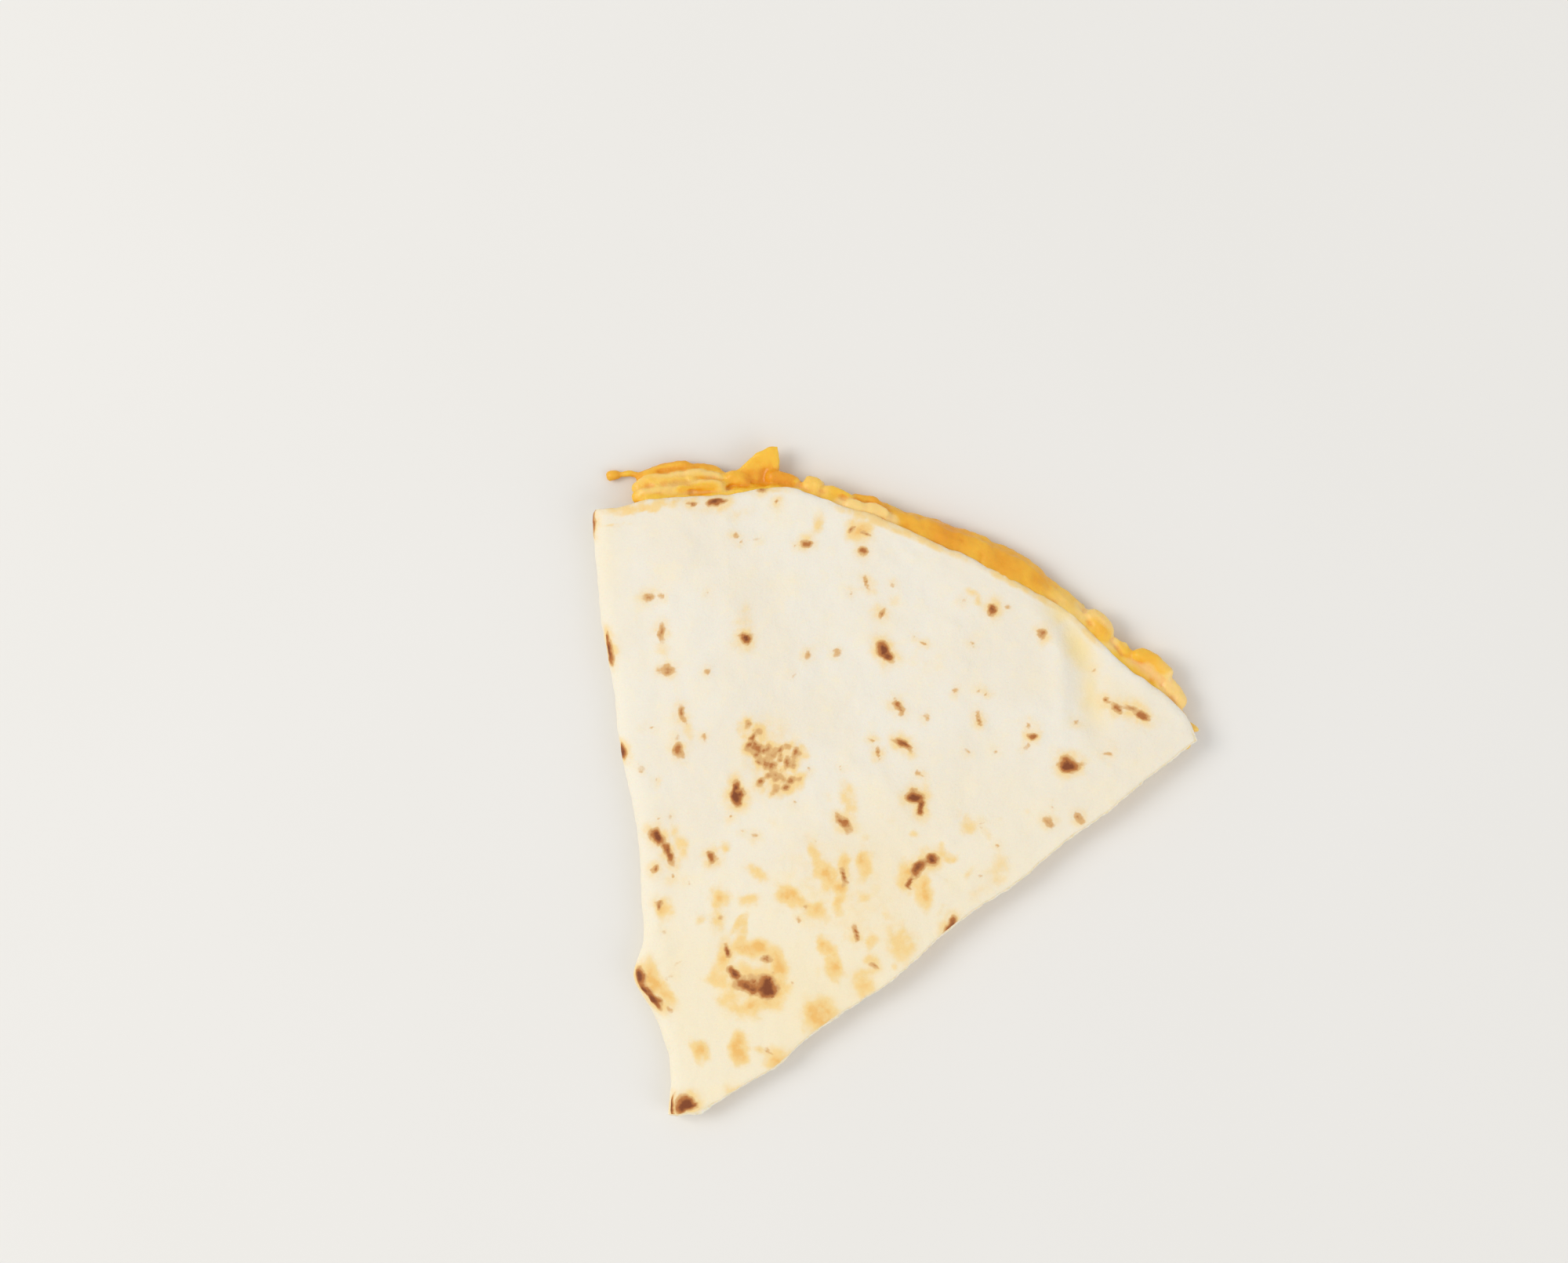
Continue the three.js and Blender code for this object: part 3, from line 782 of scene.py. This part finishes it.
def addShred(start, end, height, width, thickness, bow, tilt):
    clearSelection()
    bpy.ops.mesh.primitive_uv_sphere_add(segments=10, ring_count=14, radius=1)
    shred = bpy.context.object
    ball = np.empty(len(shred.data.vertices) * 3)
    shred.data.vertices.foreach_get("co", ball)
    ball = ball.reshape(-1, 3)
    run = np.array(end, float) - np.array(start, float)
    length = np.hypot(*run)
    run = run / length
    side = np.array((run[1], -run[0]))
    along = (ball[:, 2] + 1) / 2
    girth = np.sqrt(np.clip(1 - np.abs(ball[:, 2]) ** 5, 0, 1))  # full almost to its ends
    girth = girth / np.maximum(np.hypot(ball[:, 0], ball[:, 1]), 1e-6)
    off = ball[:, 0] * girth * width / 2 - bow * np.sin(math.pi * along)
    plan = np.array(start) + np.outer(along * length, run) + np.outer(off, side)
    z = height + tilt * (along - 0.5) * 2 + ball[:, 1] * girth * thickness / 2
    writePoints(shred, np.column_stack([plan, z]))
    return shred


def addFlake(outline, height, thickness, rise):  # a flat torn piece that sticks out
    clearSelection()
    bpy.ops.mesh.primitive_circle_add(vertices=len(outline), radius=1, fill_type="NGON")
    flake = bpy.context.object
    plan = np.array(outline)
    level = height + rise * (plan[:, 1] - plan[:, 1].min())
    writePoints(flake, np.column_stack([plan, level]))
    bpy.ops.object.mode_set(mode="EDIT")
    extrudeAll(-thickness)
    return flake


def scatteredShreds():
    rng = random.Random(3)
    shreds = []
    while len(shreds) < cheese["looseShreds"]:
        degrees = rng.uniform(1.5, 58)
        if any(low < degrees < high for low, high in cheese["smoothParts"]):
            continue
        bearing = math.radians(degrees)
        out = cheeseReach(bearing) - rng.uniform(0.4, 2.2)
        length = rng.uniform(3, 9)
        lean = bearing + rng.gauss(0, 0.2)
        middle = np.array((out * math.sin(bearing), out * math.cos(bearing)))
        reach = np.array((math.cos(lean), -math.sin(lean))) * length / 2
        size = rng.uniform(1.2, 2.3)
        height = rng.uniform(1.9, 4.2)
        shape = (height, size, size * 0.85, -length * 0.04, rng.gauss(0, 0.3), rng.uniform(-0.6, 0.6))
        shreds.append((middle - reach, middle + reach, *shape))
    return shreds


def shadeOf(points, shreds):  # each point takes the shade of the shred that it lies in
    shade = np.zeros(len(points))
    nearest = np.full(len(points), 1.25)
    for start, end, height, width, thickness, bow, tilt, tone in shreds:
        run = np.array(end, float) - np.array(start, float)
        length = np.hypot(*run)
        side = np.array((run[1], -run[0])) / length
        away = points[:, :2] - np.array(start, float)
        share = np.clip(away @ run / length**2, 0, 1)
        middle = np.outer(share, run) - np.outer(bow * np.sin(math.pi * share), side)
        level = height + tilt * (share - 0.5) * 2
        off = np.hypot(*(away - middle).T) / (width / 2)
        off = np.hypot(off, (points[:, 2] - level) / (thickness / 2)) / math.sqrt(1.5)
        closer = off < nearest
        nearest = np.where(closer, off, nearest)
        shade = np.where(closer, tone * (1 - ease(off, 0.85, 1.25)), shade)
    return shade


def fieldOf(points, spots):
    field = np.zeros(len(points))
    for across, along, size, amount in spots:
        off = np.hypot(points[:, 0] - across, points[:, 1] - along) / size
        field = np.maximum(field, amount * np.exp(-(off**2)))
    return field


def averageAround(piece, values):  # what each point's neighbours have
    ends = np.empty(len(piece.data.edges) * 2, int)
    piece.data.edges.foreach_get("vertices", ends)
    ends = ends.reshape(-1, 2)
    total = np.zeros_like(values)
    count = np.zeros(len(values))
    for a, b in ((0, 1), (1, 0)):
        np.add.at(total, ends[:, a], values[ends[:, b]])
        np.add.at(count, ends[:, a], 1)
    return (total.T / count).T


def hollowsOf(piece):  # how far each point lies under its neighbours, in mm
    points = readPoints(piece)
    pull = ((averageAround(piece, points) - points) * readNormals(piece)).sum(1)
    for _ in range(6):
        pull = averageAround(piece, pull)
    return pull


def bulgeAtCut(mass):  # between the leaves it swells out a little, more here and less there
    points = readPoints(mass)
    out = np.hypot(points[:, 0], points[:, 1])
    bearing = np.arctan2(np.maximum(points[:, 0], 0), points[:, 1])
    toCut = distanceToCut(points[:, 0], points[:, 1])
    low = undersideAt(out, cutBearing) + wedge["dough"]
    high = topAt(out, cutBearing) - wedge["dough"]
    level = np.clip((points[:, 2] - (low + high) / 2) / ((high - low) / 2), -1, 1)
    middle, varying, size = cheese["cutBulge"]
    swell = middle + varying * cloud(points, size, 33) + 0.35 * cloud(points, 1.6, 34)
    near = (1 - ease(toCut, 0.6, 3.0)) * (1 - ease(out, rimAt(bearing) - 2, rimAt(bearing)))
    near = near * ease(out, 9, 22)
    rounded = np.sqrt(1 - level**2)
    swell = np.clip(swell, -0.5, 1.0) * rounded * near
    points[:, 0] += swell * math.cos(cutBearing)
    points[:, 1] -= swell * math.sin(cutBearing)
    points[:, 2] -= 0.3 * np.maximum(swell, 0)
    toTip = points[:, 1] - wedge["tipTrim"] - cheese["tipRecess"]
    points[:, 1] -= cheese["tipBulge"] * rounded * (1 - ease(toTip, 0.2, 2.0))
    writePoints(mass, points)


def outwards(piece, distance):  # moves each point along its own normal, in mm
    writePoints(piece, readPoints(piece) + readNormals(piece) * distance[:, None])


def meltCheese(mass):
    addModifier(mass, "REMESH", mode="VOXEL", voxel_size=cheese["voxel"] * mm)
    addModifier(mass, "SMOOTH", factor=0.5, iterations=cheese["smoothing"])
    points = readPoints(mass)
    outwards(mass, sum(height * cloud(points, size, seed) for size, height, seed in cheese["melt"]))
    bulgeAtCut(mass)
    bpy.ops.object.mode_set(mode="EDIT")

    def buried(face):
        place = (face.calc_center_median() - corner) / mm
        bearing = math.atan2(max(place.x, 0), place.y)
        out = math.hypot(place.x, place.y)
        toCut = distanceToCut(place.x, place.y)
        return out < rimAt(bearing) - 5 and toCut > 4 and place.y > 9

    pick(mass, "FACE", buried)
    bpy.ops.mesh.decimate(ratio=0.05)
    bpy.ops.mesh.select_all(action="DESELECT")
    finishEditing()


def makeCheese():
    slab = startSlab()
    shapeSlab(slab)
    shreds = cheese["shreds"] + scatteredShreds()
    loose = [addShred(*shape) for *shape, shade in shreds] + [addFlake(*flake) for flake in cheese["flakes"]]
    clearSelection()
    for piece in loose:
        piece.select_set(True)
    slab.select_set(True)
    bpy.context.view_layer.objects.active = slab
    bpy.ops.object.join()
    meltCheese(slab)
    points = readPoints(slab)
    points[:, 2] = np.maximum(points[:, 2], 0.15)
    writePoints(slab, points)
    toCut = distanceToCut(points[:, 0], points[:, 1])
    gain = between(*cheese["hollowShadeGain"], ease(toCut, 2, 6))
    # painted shade and highlight: how far each point lies in a hollow; the cheese's colour goes deeper orange
    # there and brighter on rises
    addField(slab, "hollowShade", np.clip(0.5 + hollowsOf(slab) * gain, 0, 1))
    shade = shadeOf(points, shreds)
    for _ in range(cheese["shadeBlur"]):
        shade = averageAround(slab, shade)
    # deep holds the deeper strands' own tone and the deep spots, some of which are painted shadow and shade
    addField(slab, "deep", np.maximum(fieldOf(points, cheese["deep"]), np.maximum(-shade, 0)))
    addField(slab, "pale", np.maximum(fieldOf(points, cheese["pale"]), np.maximum(shade, 0)))
    activate(slab)
    bpy.ops.object.shade_smooth()
    return slab


class Wire:
    def __init__(self, tree, socket=None):
        self.tree = tree
        self.socket = socket

    def add(self, kind, settings=None, inputs=None, output=0):
        node = self.tree.nodes.new("ShaderNode" + kind)
        for name, value in (settings or {}).items():
            setattr(node, name, value)
        for name, value in (inputs or {}).items():
            if isinstance(value, Wire):
                self.tree.links.new(value.socket, node.inputs[name])
            else:
                node.inputs[name].default_value = value
        return Wire(self.tree, node.outputs[output])

    def maths(self, operation, first, second):
        return self.add("Math", {"operation": operation}, {0: first, 1: second})

    def __add__(self, other):
        return self.maths("ADD", self, other)

    def __radd__(self, other):
        return self.maths("ADD", other, self)

    def __sub__(self, other):
        return self.maths("SUBTRACT", self, other)

    def __rsub__(self, other):
        return self.maths("SUBTRACT", other, self)

    def __mul__(self, other):
        return self.maths("MULTIPLY", self, other)

    def rise(self, low, high):  # 0 below low, 1 above high
        ends = {"Value": self, "From Min": low, "From Max": high}
        return self.add("MapRange", {"interpolation_type": "SMOOTHSTEP"}, ends)

    def tint(self, colour, other):  # from colour to other as this goes from 0 to 1
        return self.add("Mix", {"data_type": "RGBA"}, {0: self, 6: colour, 7: other}, 2)

    def speckle(self, size, detail=2.0, seed=0.0, flatten=1.0):  # noise with features of that size in mm
        shift = (seed, seed * 0.7, seed * 0.3)
        spot = {0: self.add("TexCoord", output="Object"), 1: shift, 3: (1, 1, flatten)}
        place = self.add("Mapping", None, spot)
        grain = {"Vector": place, "Scale": 1 / (size * mm), "Detail": detail}
        return self.add("TexNoise", None, grain, "Fac")

    def field(self, name):
        return self.add("Attribute", {"attribute_name": name}, output="Fac")


def colour(red, green, blue):  # from the 0 to 255 of a colour picker
    def linear(value):
        value = value / 255
        return value / 12.92 if value <= 0.04045 else ((value + 0.055) / 1.055) ** 2.4
    return (linear(red), linear(green), linear(blue), 1)


def newMaterial(name):
    material = bpy.data.materials.get(name) or bpy.data.materials.new(name)
    material.use_nodes = True
    material.node_tree.nodes.clear()
    return Wire(material.node_tree)


def finishMaterial(wire, base, roughness, relief, depth, fixed):
    normal = wire.add("Bump", None, {"Height": relief, "Distance": depth * mm}, "Normal")
    inputs = {"Base Color": base, "Roughness": roughness, "Normal": normal, **fixed}
    shader = wire.add("BsdfPrincipled", None, inputs)
    output = wire.tree.nodes.new("ShaderNodeOutputMaterial")
    wire.tree.links.new(shader.socket, output.inputs["Surface"])


skinFinish = {
    "dough": colour(241, 232, 213),
    "floury": colour(242, 235, 219),
    "warm": colour(250, 236, 202),
    # the fold band's paler cream, partly painted highlight
    "creamy": colour(248, 240, 219),
    "gold": colour(248, 214, 144),
    "deepGold": colour(243, 190, 106),
    "tan": colour(221, 175, 115),
    "brown": colour(186, 117, 59),
    "char": colour(120, 56, 26),
    "butter": colour(250, 226, 168),
    "bumpDepth": 0.2,
    "fixed": {"Subsurface Weight": 0.12, "Subsurface Scale": 0.001, "Subsurface Radius": (1.0, 0.7, 0.45),
              "Specular IOR Level": 0.3},
}


def toastedSkin():
    wire = newMaterial("toastedSkin")
    charred = wire.field("charred")
    golden = wire.field("golden")
    fine = wire.speckle(0.8, 3)
    blot = wire.speckle(2.2, 2, 0.31)
    patch = wire.speckle(7, 3, 0.52)
    broad = wire.speckle(17, 2, 0.73)
    place = wire.add("TexCoord", output="Object")
    across = wire.add("SeparateXYZ", None, {0: place}, "X")
    along = wire.add("SeparateXYZ", None, {0: place}, "Y")
    nearFold = 1 - across.rise(corner.x + 0.0015, corner.x + 0.006)
    nearTip = 1 - along.rise(corner.y + 0.02, corner.y + 0.075)
    base = broad.rise(0.38, 0.64).tint(skinFinish["dough"], skinFinish["floury"])
    base = (patch.rise(0.48, 0.75) * 0.3 + nearTip * 0.7).tint(base, skinFinish["warm"])
    base = (blot.rise(0.52, 0.72) * 0.3).tint(base, skinFinish["warm"])
    # the band round the fold is painted a paler cream: its own tone, and painted highlight where the fold's
    # rounding faces the light
    base = (nearFold * 0.5).tint(base, skinFinish["creamy"])
    base = wire.field("buttery").tint(base, skinFinish["butter"])
    toasted = golden * (0.6 + blot.rise(0.3, 0.7) * 0.6 + fine * 0.35)
    base = (toasted.rise(0.06, 0.5) * 0.9).tint(base, skinFinish["gold"])
    base = (toasted.rise(0.42, 1.05) * 0.9).tint(base, skinFinish["deepGold"])
    burnt = charred + ((fine - 0.5) * 0.36 + (blot - 0.5) * 0.25) * charred.rise(0.05, 0.4)
    burnt = burnt + wire.speckle(1.1, 2, 0.9).rise(0.6, 0.74) * golden.rise(0.45, 0.9) * 0.34
    base = (burnt.rise(0.17, 0.42) * 0.9).tint(base, skinFinish["tan"])
    base = burnt.rise(0.41, 0.68).tint(base, skinFinish["brown"])
    base = (burnt.rise(0.66, 0.98) * 0.85).tint(base, skinFinish["char"])
    roughness = 0.8 - burnt.rise(0.4, 0.8) * 0.2
    relief = wire.speckle(0.35, 2, 0.1) * 0.35 + fine * 0.5 + blot * 0.7
    finishMaterial(wire, base, roughness, relief, skinFinish["bumpDepth"], skinFinish["fixed"])


crumbFinish = {
    "pale": colour(252, 245, 229),
    "damp": colour(248, 236, 208),
    # the darker tan painted as shade in the crumb's pits
    "pore": colour(233, 211, 168),
    "crust": colour(243, 219, 168),
    "bumpDepth": 0.3,
    "fixed": {"Subsurface Weight": 0.25, "Subsurface Scale": 0.0012, "Subsurface Radius": (1.0, 0.7, 0.4),
              "Specular IOR Level": 0.3},
}


def cutDough(name):
    wire = newMaterial(name)
    crumb = wire.speckle(0.7, 3, 0.4, 2)
    layers = wire.speckle(3, 2, 0.6)
    base = crumb.rise(0.36, 0.64).tint(crumbFinish["damp"], crumbFinish["pale"])
    # painted shade: the crumb's low spots, which the bump sinks into pits, are tinted darker tan
    base = ((1 - crumb.rise(0.3, 0.42)) * 0.5).tint(base, crumbFinish["pore"])
    underSkin = 1 - (wire.field("depth") + (layers - 0.5) * 0.2).rise(0.02, 0.3)
    base = (underSkin * 0.6).tint(base, crumbFinish["crust"])
    roughness = 0.7 + crumb * 0.2
    relief = crumb + layers * 0.5
    finishMaterial(wire, base, roughness, relief, crumbFinish["bumpDepth"], crumbFinish["fixed"])


cheeseFinish = {
    "bright": colour(252, 197, 62),
    "orange": colour(244, 172, 30),
    "deep": colour(232, 148, 10),
    "pale": colour(253, 216, 144),
    "bumpDepth": 0.18,
    "fixed": {"Subsurface Weight": 0.35, "Subsurface Scale": 0.002, "Subsurface Radius": (1.0, 0.5, 0.12),
              "Specular IOR Level": 0.38, "Coat Weight": 0.16, "Coat Roughness": 0.2},
}


def meltedCheese():
    wire = newMaterial("meltedCheese")
    hollowShade = wire.field("hollowShade")
    grain = wire.speckle(1.1, 2, 0.2)
    broad = wire.speckle(5, 2, 0.8)
    # painted shade: bright yellow on rises, orange and deep orange in the hollows, with noise for tone that
    # differs at random
    sunk = hollowShade.rise(0.42, 0.75) + (grain - 0.5) * 0.4 + (broad - 0.5) * 0.25
    base = sunk.rise(0.0, 0.75).tint(cheeseFinish["bright"], cheeseFinish["orange"])
    base = (sunk.rise(0.55, 1.15) * 0.6).tint(base, cheeseFinish["deep"])
    # deeper strands, plus painted shadow and shade where the deep spots lie
    base = (wire.field("deep") * 0.85).tint(base, cheeseFinish["deep"])
    base = (wire.field("pale") * 0.9).tint(base, cheeseFinish["pale"])
    roughness = 0.34 + broad.rise(0.35, 0.7) * 0.2
    finishMaterial(wire, base, roughness, grain + wire.speckle(0.45, 2) * 0.4, cheeseFinish["bumpDepth"],
                   cheeseFinish["fixed"])


stageLook = {
    "floorSize": 4.0,
    "floor": colour(236, 234, 229),
    "floorPatch": colour(238, 236, 232),
    "sky": colour(249, 250, 252),
    "skyStrength": 0.67,
    "keyWatts": 12.5,
    "keySize": 0.9,
    "keyPlace": (-1.2, 0.4, 1.25),  # from the wedge's middle, in m
    "keyColour": (1.0, 0.97, 0.92),
    "fillWatts": 6.5,
    "fillSize": 1.4,
    "fillPlace": (1.1, -0.9, 0.8),
    "fillColour": (1.0, 1.0, 1.0),
    "lens": 90,
    "sensor": 36,  # its width in mm
    "viewWidth": 0.2994,  # seen across the picture at the wedge, in m
    "aim": (33.4, 93.5),  # across and along, in mm, under the camera
    "roll": -6.87,  # the fold leans this much in view
}


def setStage():
    clearSelection()
    bpy.ops.mesh.primitive_plane_add(size=stageLook["floorSize"], location=(0, 0, 0))
    floor = bpy.context.object
    floor.name = "floor"
    wire = newMaterial("paleFloor")
    base = wire.speckle(60, 1).tint(stageLook["floor"], stageLook["floorPatch"])
    finishMaterial(wire, base, 0.7, wire.speckle(4, 1), 0.02, {"Specular IOR Level": 0.2})
    floor.data.materials.append(bpy.data.materials["paleFloor"])

    world = bpy.data.worlds.new("softSky")
    bpy.context.scene.world = world
    world.use_nodes = True
    sky = world.node_tree.nodes["Background"]
    sky.inputs["Color"].default_value = stageLook["sky"]
    sky.inputs["Strength"].default_value = stageLook["skyStrength"]

    middle = (cadLow + cadHigh) / 2
    for lamp in ("key", "fill"):
        place = middle + Vector(stageLook[lamp + "Place"])
        bpy.ops.object.light_add(type="AREA", location=place)
        light = bpy.context.object
        light.name = lamp + "Light"
        light.rotation_euler = (middle - place).to_track_quat("-Z", "Y").to_euler()
        light.data.size = stageLook[lamp + "Size"]
        light.data.energy = stageLook[lamp + "Watts"]
        light.data.color = stageLook[lamp + "Colour"]


def setCamera():
    across, along = stageLook["aim"]
    under = corner + Vector((across, along, wedge["bodyHeight"])) * mm
    distance = stageLook["viewWidth"] * stageLook["lens"] / stageLook["sensor"]
    above = under + Vector((0, 0, distance))
    bpy.ops.object.camera_add(location=above, rotation=(0, 0, math.radians(stageLook["roll"])))
    camera = bpy.context.object
    camera.name = "overhead"
    camera.data.lens = stageLook["lens"]
    camera.data.sensor_width = stageLook["sensor"]
    camera.data.clip_start = 0.01
    bpy.context.scene.camera = camera
    bpy.context.scene.view_settings.view_transform = "Standard"


print("building the tortilla")
skin = makeTortilla()
print("melting the cheese")
filling = makeCheese()
print("finishing the surfaces")
toastedSkin()
cutDough("hiddenDough")
cutDough("cutDough")
meltedCheese()
filling.data.materials.clear()
filling.data.materials.append(bpy.data.materials["meltedCheese"])
print("setting the stage")
setStage()
setCamera()

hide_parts("tortilla")
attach(skin, "root")
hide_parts("cheese")
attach(filling, "root")
